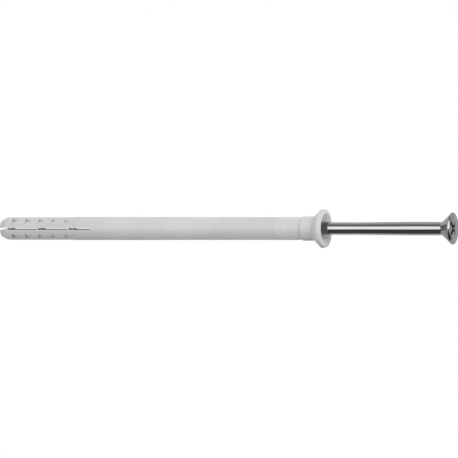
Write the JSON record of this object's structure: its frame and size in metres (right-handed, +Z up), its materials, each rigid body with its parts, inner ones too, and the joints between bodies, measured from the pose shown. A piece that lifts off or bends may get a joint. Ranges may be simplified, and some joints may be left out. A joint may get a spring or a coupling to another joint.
{
  "type": "hammer fixing plug",
  "caption": "Long nylon frame fixing: a slit, barbed expansion sleeve with a countersunk collar, and a screw nail set part way into it, ready to be hammered home.",
  "frame": {"origin": "under the middle of the fixing's length, level with the lowest point of the collar", "axes": "+X along the fixing from the sleeve's tip to the nail's head, +Z up, the mouths of the slit facing -Y and +Y"},
  "size_m": [0.1676, 0.0132, 0.0133],
  "materials": {
    "nylon": "light grey moulded nylon, satin",
    "zinc": "bright zinc plated steel, mirror shank, grainy pressed head"
  },
  "bodies": {
    "root": {"plug_sleeve": "nylon", "nail_screw": "zinc"}
  },
  "joints": []
}
